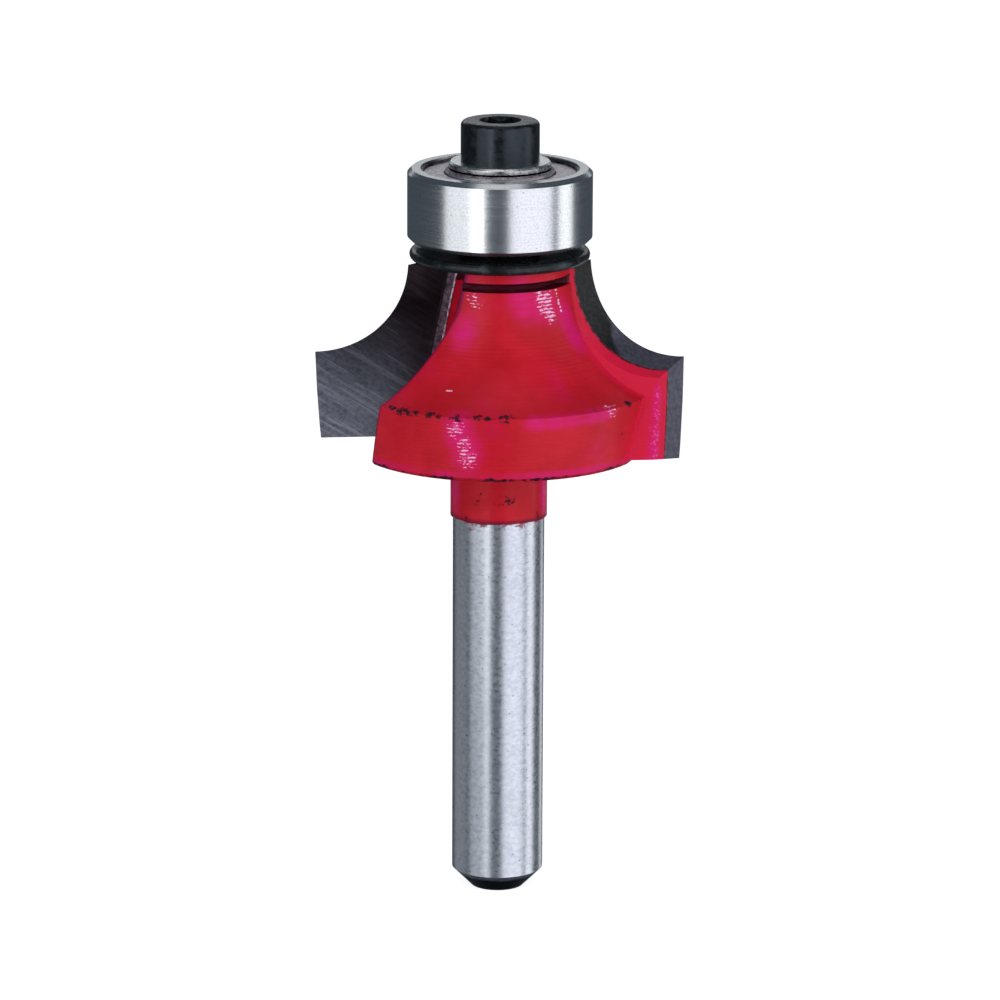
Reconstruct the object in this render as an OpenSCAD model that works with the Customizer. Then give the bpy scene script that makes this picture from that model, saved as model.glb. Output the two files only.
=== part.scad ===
// Two-flute rounding-over cutter with a ball bearing pilot, for a hand-held or table router.
// Z runs along the spindle axis from the free end of the shank to the socket screw.

/* [Shank and neck] */
// Diameter of the ground shank that the collet grips
shank_d = 6.35; // [6:0.05:6.5]
// Length of the ground shank, from its free end to the paint line
shank_l = 26.8; // [20:0.1:40]
// Width of the dark chamfer round the free end
end_chamfer = 0.95; // [0.4:0.05:1.2]
// Width of the broken edge above that chamfer
end_break = 0.4; // [0.2:0.05:0.6]
// Diameter of the painted neck
neck_d = 6.7; // [6.7:0.05:8.4]
// Length of the neck, from the paint line to the underside of the cutter body
neck_l = 4.7; // [3:0.1:10]

/* [Cutting edges] */
// Radius that the cutter leaves on the edge of the work
round_r = 6.35; // [5:0.05:8]
// Height of the straight cutting edge below the rounded one
edge_h = 6.65; // [5:0.05:9]
// Lean of the rake face against the spindle axis, in degrees
shear = 18.6; // [10:0.1:20]
// Turn of the rake face about the spindle axis, in degrees
rake_turn = 5.7; // [0:0.1:8]
// Depth below the centre of the rounded edge at which the rake face crosses the axis
rake_drop = 1.15; // [0.5:0.05:2]
// Turn of the relief grinding direction from square to the rake face, in degrees
relief_turn = 40.75; // [30:0.25:45]
// Fall of the relief grinding direction towards the shank, in degrees
relief_fall = 17.3; // [8:0.1:22]
// Clearance angle under the bottom edge, in degrees
heel_relief = 11.5; // [6:0.5:20]

/* [Carbide tips] */
// Thickness of a carbide tip
tip_t = 1.2; // [1:0.05:1.6]
// Distance from the axis to the inner edge of a tip, where the rake face crosses the axis
tip_inset = 3.1; // [3:0.05:3.6]
// Height of a tip above the centre of the rounded edge
tip_rise = 0.1; // [0.05:0.01:0.2]
// Thickness of the braze under and beside a tip
braze_t = 0.1; // [0.05:0.01:0.15]

/* [Cutter body] */
// How far the rim of the body lies inside the cutting circle
rim_inset = 2.1; // [1.4:0.05:2.6]
// Height of the rim band
rim_h = 4.5; // [3.5:0.05:6]
// How much smaller in radius the rim band is at its lower edge
rim_taper = 0.5; // [0.2:0.05:0.8]
// Size of the chamfer at the lower edge of the rim
rim_chamfer = 0.25; // [0.1:0.05:0.4]
// Radius of the land at the top of the cove
land_r = 5; // [4.8:0.05:5.4]
// Depth of the land below the centre of the rounded edge
land_drop = 1.05; // [0.8:0.05:1.6]
// Radius of the collar above the land
collar_r = 4.85; // [4.6:0.05:5.2]
// Height of the collar above the centre of the rounded edge
collar_rise = 0.35; // [0.25:0.01:0.6]
// Height of the groove between the land and the collar
groove_h = 0.6; // [0.3:0.05:0.8]
// Depth of that groove
groove_depth = 0.8; // [0.4:0.05:1]
// Radius of the cove between the land and the rim
cove_r = 9.6; // [8.5:0.1:12]
// Thickness of steel behind a tip, beside the cove
backing_top = 0.5; // [0.4:0.05:1]
// Thickness of steel behind a tip, at the lower edge of the rim
backing_low = 0.85; // [0.6:0.05:1.4]

/* [Flutes] */
// Distance from the axis to the root of a flute, where the rake face crosses the axis
flute_root = 2.5; // [2.4:0.05:2.9]
// Distance from the axis to the far corner of the flute floor
flute_corner = 3.1; // [3:0.05:3.4]
// Width of the flute floor
flute_floor = 4.3; // [3.5:0.1:5]
// Angle of the flute's far wall against the rake face, in degrees
flute_wall = 38; // [30:1:50]
// Radius between the floor and the far wall
flute_round = 1.2; // [0.6:0.1:1.6]
// Lean of a flute outwards, towards the shank, in degrees
flute_lean = 8.5; // [5:0.5:10]

/* [Pilot bearing] */
// Outer diameter of the bearing, on which the cutter is guided
bearing_d = 12.7; // [12.7:0.1:13.5]
// Bore of the bearing
bearing_bore = 4.762; // [4.6:0.01:4.9]
// Width of the bearing
bearing_w = 4.978; // [4.9:0.01:5.4]
// Chamfer on the outer edges of the bearing
bearing_chamfer = 0.3; // [0.15:0.05:0.4]
// Chamfer on the inner ring
ring_chamfer = 0.12; // [0.05:0.01:0.18]
// Diameter of a ball
ball_d = 2.381; // [2.2:0.01:2.5]
// Number of balls
ball_n = 7; // [7:1:7]
// Distance from the circle of ball centres to the shoulders of either ring
shoulder = 0.62; // [0.56:0.01:0.68]
// Wall of the outer ring beside the recess that a shield lies in
ring_wall = 0.9; // [0.8:0.05:1]
// Thickness of a shield
shield_t = 0.2; // [0.15:0.01:0.25]
// Depth of a shield below the face of the bearing
shield_depth = 0.33; // [0.3:0.01:0.45]
// Thickness of the snap ring that holds a shield
snap_t = 0.2; // [0.15:0.01:0.25]
// Radial width of that snap ring
snap_w = 0.3; // [0.25:0.01:0.35]
// Opening of the snap ring, in degrees
snap_gap = 24; // [15:1:40]
// Thickness of the sheet that the cage is pressed from
cage_t = 0.18; // [0.12:0.01:0.22]
// Radial width of the cage ribbon
cage_w = 0.8; // [0.6:0.05:0.9]
// Diameter of the rivets that join the two halves of the cage
rivet_d = 0.4; // [0.3:0.05:0.5]

/* [Bearing seat] */
// Diameter of the shoulder that the inner ring sits on
seat_d = 5.7; // [5.4:0.05:5.9]
// Height from the collar to the bearing
seat_h = 1.35; // [1.2:0.05:1.8]
// Outer diameter of the dust washer under the bearing
dust_d = 12.4; // [12:0.05:12.6]
// Thickness of the dust washer
dust_t = 0.75; // [0.6:0.05:0.9]
// How far the spigot stops short of the bearing's face
spigot_short = 0.3; // [0.2:0.05:0.6]

/* [Screw and washer] */
// Diameter of the clamp washer
washer_d = 7; // [6.6:0.05:7.2]
// Thickness of the clamp washer
washer_t = 0.5; // [0.4:0.05:0.8]
// Chamfer on the edges of the clamp washer
washer_chamfer = 0.12; // [0.05:0.01:0.2]
// Diameter of the screw thread
screw_d = 3; // [2.8:0.1:3.2]
// Length of the screw under its head
screw_l = 8; // [7:0.5:10]
// Diameter of the screw head
head_d = 5.4; // [5.2:0.05:5.8]
// Height of the screw head
head_h = 2.8; // [2.4:0.05:3.2]
// Radius of the rounded top edge of the head
head_round = 0.35; // [0.2:0.05:0.5]
// Width across the flats of the hex socket
socket_af = 2.5; // [2:0.1:2.6]
// Depth of the hex socket
socket_depth = 1.6; // [1.2:0.1:1.8]
// Depth of the tapped hole below the end of the screw
hole_spare = 1; // [0.6:0.1:1.6]

/* [Clearances] */
// Radial clearance of a ball in its races and of parts that slide over each other
running = 0.02; // [0.01:0.005:0.05]
// Clearance of a ball in its cage pocket
pocket_gap = 0.05; // [0.03:0.01:0.08]
// Radial gap between a shield and the inner ring
shield_gap = 0.1; // [0.05:0.01:0.15]

/* [Hidden] */
$fn = 96;
EPS = 0.01;
FAR = 30;
ARC_STEPS = 32;
EDGE_STEPS = 4;
CORNER_STEPS = 6;

// Heights along the spindle axis
body_z = shank_l + neck_l;
edge_top_z = body_z + edge_h;
arc_z = edge_top_z + round_r;
tip_top_z = arc_z + tip_rise;
land_z = arc_z - land_drop;
collar_z = arc_z + collar_rise;
rake_z = arc_z - rake_drop;
bearing_z = collar_z + seat_h;
bearing_top_z = bearing_z + bearing_w;
head_z = bearing_top_z + washer_t;
spigot_top_z = bearing_top_z - spigot_short;
screw_end_z = head_z - screw_l;
hole_end_z = screw_end_z - hole_spare;

// Radii about the spindle axis
shank_r = shank_d / 2;
cutter_r = bearing_d / 2 + round_r;
rim_r = cutter_r - rim_inset;
spigot_r = bearing_bore / 2 - running;
seat_r = seat_d / 2;
screw_r = screw_d / 2;
hole_r = screw_r + running;

// Cove of the body: an arc from the land to the rim, with its centre outside and above
rim_z = body_z + rim_h;
cove_rise = land_z - rim_z;
cove_run = rim_r - land_r;
cove_chord = sqrt(cove_run * cove_run + cove_rise * cove_rise);
cove_reach = sqrt(cove_r * cove_r - cove_chord * cove_chord / 4);
cove_centre = [
    land_r + cove_run / 2 + cove_reach * cove_rise / cove_chord,
    land_z - cove_rise / 2 + cove_reach * cove_run / cove_chord
];

// Direction of the relief grinding, as the two turns of an extrusion axis
relief_tilt = 90 + relief_fall;
relief_heading = -90 - relief_turn;
relief_length = 3 * cutter_r;

// Bearing
ball_r = ball_d / 2;
pitch_r = (bearing_d + bearing_bore) / 4;
race_r = ball_r + running;
inner_land_r = pitch_r - shoulder;
outer_land_r = pitch_r + shoulder;
recess_r = bearing_d / 2 - ring_wall;
bearing_mid_z = bearing_z + bearing_w / 2;
shield_top = bearing_w / 2 - shield_depth;
cage_cup_r = ball_r + pocket_gap;

// Frame of one wing seen in plan: X along its rake face, the cutting edge on the +X side
module plan_frame(wing) {
    rotate([0, 0, rake_turn + 180 * wing]) translate([0, 0, rake_z]) children();
}

// Frame on the rake face itself: Y = 0 is the face, and the steel lies on the -Y side
module rake_frame(wing) {
    plan_frame(wing) rotate([-shear, 0, 0]) children();
}

// Height h in the plan frame, at distance r from the axis, as a point of the rake face
function rake_point(r, h) = let (back = h * tan(shear)) [sqrt(r * r - back * back), back, h];
function rake_inner(x, h) = [x, h * tan(shear), h];

// A point as seen along the relief grinding direction
function relief_view(p) =
    let (
        along = p[0] * cos(relief_heading) + p[1] * sin(relief_heading),
        across = p[1] * cos(relief_heading) - p[0] * sin(relief_heading)
    )
    [along * cos(relief_tilt) - p[2] * sin(relief_tilt), across];

// Cutting edge from the top of the tip, round the arc and down to below the body
function cutting_edge() =
    let (low_z = body_z - rim_h)
    concat(
        [rake_inner(flute_root, tip_top_z + 1 - rake_z),
         rake_point(cutter_r - round_r, tip_top_z + 1 - rake_z)],
        [for (i = [0:ARC_STEPS])
            let (t = 90 * i / ARC_STEPS)
            rake_point(cutter_r - round_r * cos(t), arc_z - round_r * sin(t) - rake_z)],
        [for (i = [1:EDGE_STEPS])
            rake_point(cutter_r, edge_top_z + (low_z - edge_top_z) * i / EDGE_STEPS - rake_z)],
        [rake_inner(flute_root, low_z - rake_z)]
    );

// Everything inside the relief-ground surface that starts at the cutting edge
module relief_block() {
    rotate([0, relief_tilt, relief_heading])
        linear_extrude(relief_length, center = true)
            polygon([for (p = cutting_edge()) relief_view(p)]);
}

// Everything between the clearance plane under the bottom edge and the top of the tips
module end_block() {
    low_h = body_z - rake_z;
    top_h = tip_top_z - rake_z;
    edge_y = low_h * tan(shear);
    fall = 2 * cutter_r * tan(heel_relief);
    rotate([90, 0, 90]) linear_extrude(FAR)
        polygon([
            [edge_y - 2 * cutter_r, low_h + fall], [edge_y + 2 * cutter_r, low_h - fall],
            [edge_y + 2 * cutter_r, top_h], [edge_y - 2 * cutter_r, top_h]
        ]);
}

// Part of a ground wing that lies in the given section, which is drawn across the flute
module ground_wing(wing) {
    plan_frame(wing) intersection() {
        relief_block();
        end_block();
        rotate([-shear, 0, 0]) children();
    }
}

// Bar along the leaning flute
module flute_bar() {
    rotate([0, -flute_lean, 0]) translate([0, 0, -FAR]) linear_extrude(2 * FAR) children();
}

// Steel wing that backs a tip: thinner beside the cove, and thicker towards the shank
module wing_backing(wing) {
    top = tip_t + braze_t + backing_top;
    low = tip_t + braze_t + backing_low;
    top_h = (edge_top_z - rake_z) / cos(shear);
    low_h = (body_z - rake_z) / cos(shear);
    ground_wing(wing) rotate([90, 0, 90]) linear_extrude(FAR)
        polygon([
            [tip_t, -FAR], [tip_t, FAR], [-top, FAR], [-top, top_h],
            [-low, low_h], [-low, -FAR]
        ]);
}

// Seat that is milled behind the rake face for a tip and its braze
module tip_seat(wing) {
    rake_frame(wing) flute_bar()
        translate([tip_inset - braze_t, -tip_t - braze_t]) square([FAR, 2 * tip_t]);
}

// One flute: floor, rounded corner and far wall, open to the front of the rake face
module flute(wing) {
    half = (90 - flute_wall) / 2;
    reach = flute_round * tan(half);
    centre = [flute_corner + flute_round, flute_floor - reach];
    wall = [cos(flute_wall), sin(flute_wall)];
    rake_frame(wing) flute_bar()
        polygon(concat(
            [[FAR, 0], [flute_root, 0]],
            [for (i = [0:CORNER_STEPS])
                let (t = 180 - (90 - flute_wall) * i / CORNER_STEPS)
                centre + flute_round * [cos(t), sin(t)]],
            [[flute_corner, flute_floor] + FAR * wall, [2 * FAR, 0]]
        ));
}

// Cutter body before its flutes are milled
module body_turning() {
    spread = rim_taper / (rim_h - rim_chamfer);
    rotate_extrude() difference() {
        polygon([
            [0, body_z], [rim_r - rim_taper - rim_chamfer, body_z],
            [rim_r - rim_taper, body_z + rim_chamfer],
            [rim_r + spread * cove_rise, land_z], [0, land_z]
        ]);
        translate(cove_centre) circle(cove_r);
    }
}

// Collar under the bearing, with a rounded groove between it and the land
module collar() {
    groove_r = collar_r - groove_depth;
    rotate_extrude() difference() {
        translate([0, land_z - EPS]) square([collar_r, collar_z - land_z + EPS]);
        translate([groove_r, land_z - EPS]) square([FAR, groove_h - groove_depth / 2 + EPS]);
        translate([groove_r + groove_depth / 2, land_z + groove_h - groove_depth / 2])
            circle(groove_depth / 2);
        translate([groove_r + groove_depth / 2, land_z - EPS]) square([FAR, groove_h + EPS]);
    }
}

module shank_turning() {
    rotate_extrude() polygon([
        [0, 0], [shank_r - end_chamfer - end_break, 0],
        [shank_r - end_break, end_chamfer], [shank_r, end_chamfer + end_break],
        [shank_r, shank_l], [neck_d / 2, shank_l], [neck_d / 2, body_z + EPS], [0, body_z + EPS]
    ]);
}

// Shoulder and spigot that carry the bearing
module spigot() {
    lead = 2 * ring_chamfer;
    rotate_extrude() polygon([
        [0, collar_z - EPS], [seat_r, collar_z - EPS], [seat_r, bearing_z],
        [spigot_r, bearing_z], [spigot_r, spigot_top_z - lead],
        [spigot_r - lead, spigot_top_z], [0, spigot_top_z]
    ]);
}

// Tapped hole with the point that a drill leaves
module screw_hole() {
    translate([0, 0, hole_end_z]) cylinder(h = FAR, r = hole_r);
    translate([0, 0, hole_end_z - hole_r * tan(31)])
        cylinder(h = hole_r * tan(31) + EPS, r1 = EPS, r2 = hole_r);
}

module tool_body() {
    color("crimson") difference() {
        union() {
            shank_turning();
            difference() {
                union() {
                    body_turning();
                    collar();
                    for (wing = [0, 1]) wing_backing(wing);
                }
                for (wing = [0, 1]) {
                    flute(wing);
                    tip_seat(wing);
                }
            }
            spigot();
        }
        screw_hole();
    }
}

module carbide(wing) {
    color("dimgray") ground_wing(wing) flute_bar()
        translate([tip_inset, -tip_t]) square([FAR, tip_t]);
}

// Braze that fills the seat under a tip and along its inner edge
module braze(wing) {
    inner = tip_inset - braze_t;
    under = -tip_t - braze_t;
    color("rosybrown") ground_wing(wing) flute_bar()
        polygon([
            [inner, under], [FAR, under], [FAR, -tip_t],
            [tip_inset, -tip_t], [tip_inset, 0], [inner, 0]
        ]);
}

// Thin washer with a round rim that keeps dust away from the bearing
module dust_washer() {
    color("black") translate([0, 0, collar_z]) rotate_extrude() difference() {
        union() {
            square([dust_d / 2 - dust_t / 2, dust_t]);
            translate([dust_d / 2 - dust_t / 2, dust_t / 2]) circle(dust_t / 2);
        }
        translate([-EPS, -EPS]) square([seat_r + running + EPS, dust_t + 2 * EPS]);
    }
}

module inner_race() {
    bore_r = bearing_bore / 2;
    land = inner_land_r;
    half = bearing_w / 2;
    c = ring_chamfer;
    color("silver") translate([0, 0, bearing_mid_z]) rotate_extrude() difference() {
        polygon([
            [bore_r, c - half], [bore_r + c, -half], [land - c, -half], [land, c - half],
            [land, half - c], [land - c, half], [bore_r + c, half], [bore_r, half - c]
        ]);
        translate([pitch_r, 0]) circle(race_r);
    }
}

module outer_race() {
    rim = bearing_d / 2;
    land = outer_land_r;
    recess = recess_r;
    half = bearing_w / 2;
    c = bearing_chamfer;
    step = shield_top - shield_t;
    groove = recess + snap_w / 2;
    color("silver") translate([0, 0, bearing_mid_z]) rotate_extrude() difference() {
        polygon([
            [land, -step], [recess, -step], [recess, -half], [rim - c, -half], [rim, c - half],
            [rim, half - c], [rim - c, half], [recess, half], [recess, step], [land, step]
        ]);
        translate([pitch_r, 0]) circle(race_r);
        for (side = [-1, 1])
            translate([recess - EPS, side * (shield_top + snap_t / 2) - snap_t / 2])
                square([groove - recess + EPS, snap_t]);
    }
}

module ball(i) {
    color("gainsboro") rotate([0, 0, 360 * i / ball_n])
        translate([pitch_r, 0, bearing_mid_z]) sphere(ball_r);
}

// One half of the pressed ribbon cage: a flat ring with a cup over each ball
module cage_half(side) {
    inner = pitch_r - cage_w / 2;
    outer = pitch_r + cage_w / 2;
    cup = cage_cup_r + cage_t;
    color("darkkhaki") translate([0, 0, bearing_mid_z]) mirror([0, 0, side < 0 ? 1 : 0])
        intersection() {
            rotate_extrude() translate([inner, 0]) square([cage_w, cup + EPS]);
            difference() {
                union() {
                    cylinder(h = cage_t, r = outer + 1);
                    for (i = [1:ball_n])
                        rotate([0, 0, 360 * i / ball_n]) translate([pitch_r, 0, 0]) sphere(cup);
                }
                for (i = [1:ball_n])
                    rotate([0, 0, 360 * i / ball_n]) translate([pitch_r, 0, 0]) sphere(cage_cup_r);
                for (i = [1:ball_n])
                    rotate([0, 0, 360 * (i + 0.5) / ball_n])
                        translate([pitch_r, 0, -EPS]) cylinder(h = 1, r = rivet_d / 2 + running);
            }
        }
}

// Rivets between the pockets, each with a flat head against either half of the cage
module cage_rivets() {
    head_r = rivet_d * 0.8;
    head_h = cage_t * 0.8;
    color("darkgoldenrod") for (i = [1:ball_n])
        rotate([0, 0, 360 * (i + 0.5) / ball_n]) translate([pitch_r, 0, bearing_mid_z]) {
            translate([0, 0, -cage_t - EPS]) cylinder(h = 2 * (cage_t + EPS), r = rivet_d / 2);
            translate([0, 0, cage_t]) cylinder(h = head_h, r1 = head_r, r2 = rivet_d / 2);
            translate([0, 0, -cage_t - head_h])
                cylinder(h = head_h, r1 = rivet_d / 2, r2 = head_r);
        }
}

module shield(side) {
    inner = inner_land_r + shield_gap;
    color("slategray") translate([0, 0, bearing_mid_z]) mirror([0, 0, side < 0 ? 1 : 0])
        translate([0, 0, shield_top - shield_t]) difference() {
            cylinder(h = shield_t, r = recess_r - running);
            translate([0, 0, -EPS]) cylinder(h = shield_t + 2 * EPS, r = inner);
        }
}

// Open ring that springs into its groove above the shield
module snap_ring(side) {
    outer = recess_r + snap_w / 2 - running;
    color("dimgray") translate([0, 0, bearing_mid_z]) mirror([0, 0, side < 0 ? 1 : 0])
        translate([0, 0, shield_top]) rotate([0, 0, 90 + snap_gap / 2])
            rotate_extrude(angle = 360 - snap_gap)
                translate([outer - snap_w, 0]) square([snap_w, snap_t]);
}

module clamp_washer() {
    rim = washer_d / 2;
    bore = screw_r + running;
    c = washer_chamfer;
    color("lightsteelblue") translate([0, 0, bearing_top_z]) rotate_extrude() polygon([
        [bore, 0], [rim - c, 0], [rim, c], [rim, washer_t - c], [rim - c, washer_t], [bore, washer_t]
    ]);
}

module socket_screw() {
    head_r = head_d / 2;
    corner_r = socket_af / 2 / cos(30);
    point = screw_d / 6;
    color("black") translate([0, 0, head_z]) difference() {
        union() {
            cylinder(h = head_h, r = head_r - head_round);
            cylinder(h = head_h - head_round, r = head_r);
            translate([0, 0, head_h - head_round])
                rotate_extrude() translate([head_r - head_round, 0]) circle(head_round);
            rotate_extrude() polygon([
                [0, head_round], [screw_r, head_round], [screw_r, point - screw_l],
                [screw_r - point, -screw_l], [0, -screw_l]
            ]);
        }
        translate([0, 0, head_h - socket_depth])
            cylinder(h = socket_depth + EPS, r = corner_r, $fn = 6);
        translate([0, 0, head_h - socket_depth - corner_r * tan(20)])
            cylinder(h = corner_r * tan(20) + EPS, r1 = EPS, r2 = socket_af / 2);
        translate([0, 0, head_h - socket_af / 8])
            cylinder(h = socket_af / 8 + EPS, r1 = socket_af / 2, r2 = corner_r + EPS);
    }
}

tool_body();
carbide(0);  // carbide_right
carbide(1);  // carbide_left
braze(0);  // braze_right
braze(1);  // braze_left
dust_washer();
inner_race();
outer_race();
cage_half(1);  // cage_upper
cage_half(-1);  // cage_lower
cage_rivets();
shield(1);  // shield_upper
shield(-1);  // shield_lower
snap_ring(1);  // snap_ring_upper
snap_ring(-1);  // snap_ring_lower
clamp_washer();
socket_screw();
for (i = [1:ball_n]) ball(i);
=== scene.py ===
"""Looks of the two-wing rounding-over bit: paint, ground steel, carbide, bearing and light."""

import math

import bpy
from mathutils import Matrix, Vector


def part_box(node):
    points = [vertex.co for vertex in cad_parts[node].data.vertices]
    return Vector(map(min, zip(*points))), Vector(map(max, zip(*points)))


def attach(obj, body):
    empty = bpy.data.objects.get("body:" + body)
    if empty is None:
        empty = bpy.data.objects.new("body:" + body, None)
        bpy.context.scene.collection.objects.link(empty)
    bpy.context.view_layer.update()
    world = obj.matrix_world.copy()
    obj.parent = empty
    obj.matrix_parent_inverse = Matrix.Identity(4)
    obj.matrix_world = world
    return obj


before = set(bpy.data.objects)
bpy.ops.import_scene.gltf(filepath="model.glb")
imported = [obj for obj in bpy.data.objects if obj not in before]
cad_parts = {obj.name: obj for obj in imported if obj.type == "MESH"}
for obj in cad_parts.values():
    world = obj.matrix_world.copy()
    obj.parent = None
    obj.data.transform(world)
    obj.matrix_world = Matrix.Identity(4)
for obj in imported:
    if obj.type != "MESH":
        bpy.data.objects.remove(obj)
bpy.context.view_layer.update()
MM = 0.001

# Heights along the spindle axis: three are read from the model, the other two are set to match it
BODY_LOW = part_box("braze_left")[0].z
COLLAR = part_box("dust_washer")[0].z
BEARING_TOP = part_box("outer_race")[1].z
SHANK_TOP = 26.8 * MM
CREST = 36.0 * MM

# Where the rake faces cross the axis, and how they and the flutes lean and turn, in degrees
RAKE_Z = 43.35 * MM
RAKE_LEAN, RAKE_TURN, FLUTE_LEAN = 18.6, 5.7, 8.5

# Sides of a flute in the frame of its wing: slope of the side, then start and end of its soft edge
FLUTE_FLOOR = -0.16, 2.28 * MM, 2.42 * MM
FLUTE_WALL = -0.78, 1.94 * MM, 2.16 * MM

# Soft edges (start, end) of the steel that backs a tip, in depth below the rake face and out along it
BACK_NEAR = 1.2 * MM, 1.25 * MM
BACK_FAR = 2.17 * MM, 2.6 * MM
BACK_INNER = 4.2 * MM, 5.0 * MM

# Soft edges of the groove under the collar: its radius, and its lower and upper heights
GROOVE_RADIUS = 4.84 * MM, 4.94 * MM
GROOVE_LOW = 43.22 * MM, 43.27 * MM
GROOVE_HIGH = 44.0 * MM, 44.1 * MM

# Radius from which the rim's lower edge is worn and carries a painted pink sheen, as a soft edge
RIM_RADIUS = 9.2 * MM, 9.9 * MM

# Unground strip on a carbide tip, out along the rake face, with a dark line along its outer side
STRIP_EDGE = 3.70 * MM, 3.78 * MM
STRIP_LINE = 3.55 * MM, 3.68 * MM

# Braze beads: distance from the axis, ends along the flute, thickness and sideways wander
BEAD_X = 3.05 * MM
BEAD_LOW, BEAD_TOP = -12.3 * MM, 1.2 * MM
BEAD_THICK, BEAD_WANDER = 0.085 * MM, 0.07 * MM
BEAD_POINTS, BEAD_SIDES = 260, 10

# Camera: distance, height in degrees, aim, roll in degrees, and focal length in pixels of the picture
CAMERA_DISTANCE = 390 * MM
CAMERA_HEIGHT = 14.159
CAMERA_AIM = 0.0908 * MM, 0, 27.780 * MM
CAMERA_ROLL = 0.2544
FOCAL_PIXELS, PICTURE_PIXELS = 5630.08, 1000
SENSOR = 36

# Backdrop, in metres: half its width, reach towards the camera, start and radius of the bend, and top
HALF_WIDTH, REACH, BEND_START, BEND, WALL_TOP = 1.6, 1.6, 1.0, 0.5, 1.6
BEND_STEPS = 24

# Upright soft boxes: turn about the tool in degrees (0 is the viewer's side, + to the right), height of
# the middle in mm, distance, size, strength and, where it isn't white, colour
SOFT_BOXES = {
    "left_box": (-46, 116, 0.2, (0.19, 0.26), 1.25),
    "left_box_low": (-48, -82, 0.2, (0.2, 0.136), 0.5),
    "left_core": (-26, 116, 0.19, (0.044, 0.26), 2.0),
    "left_core_low": (-26, -82, 0.19, (0.044, 0.136), 0.9),
    "left_rear_low": (-112, -82, 0.2, (0.2, 0.136), 0.26),
    "right_box": (40, 35, 0.6, (0.64, 1.1), 1.4, (0.97, 0.95, 1.0)),
    "right_strip": (89, 35, 0.6, (0.25, 1.1), 1.6),
    "rear_strip_low": (142, -85, 0.2, (0.05, 0.13), 1.2),
}
# Lights with a free place, as seen from a point in the middle of the cutter
CUTTER_MIDDLE = 0, 0, 35 * MM
FREE_LIGHTS = {
    "back_box": ((0, 1.9, 0.74), (2.0, 0.70), 0.92),
    "top_box": ((0, -0.02, 0.8), (0.5, 0.5), 0.8),
}
SKY, SKY_STRENGTH = (0.64, 0.81, 1, 1), 0.095


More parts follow.
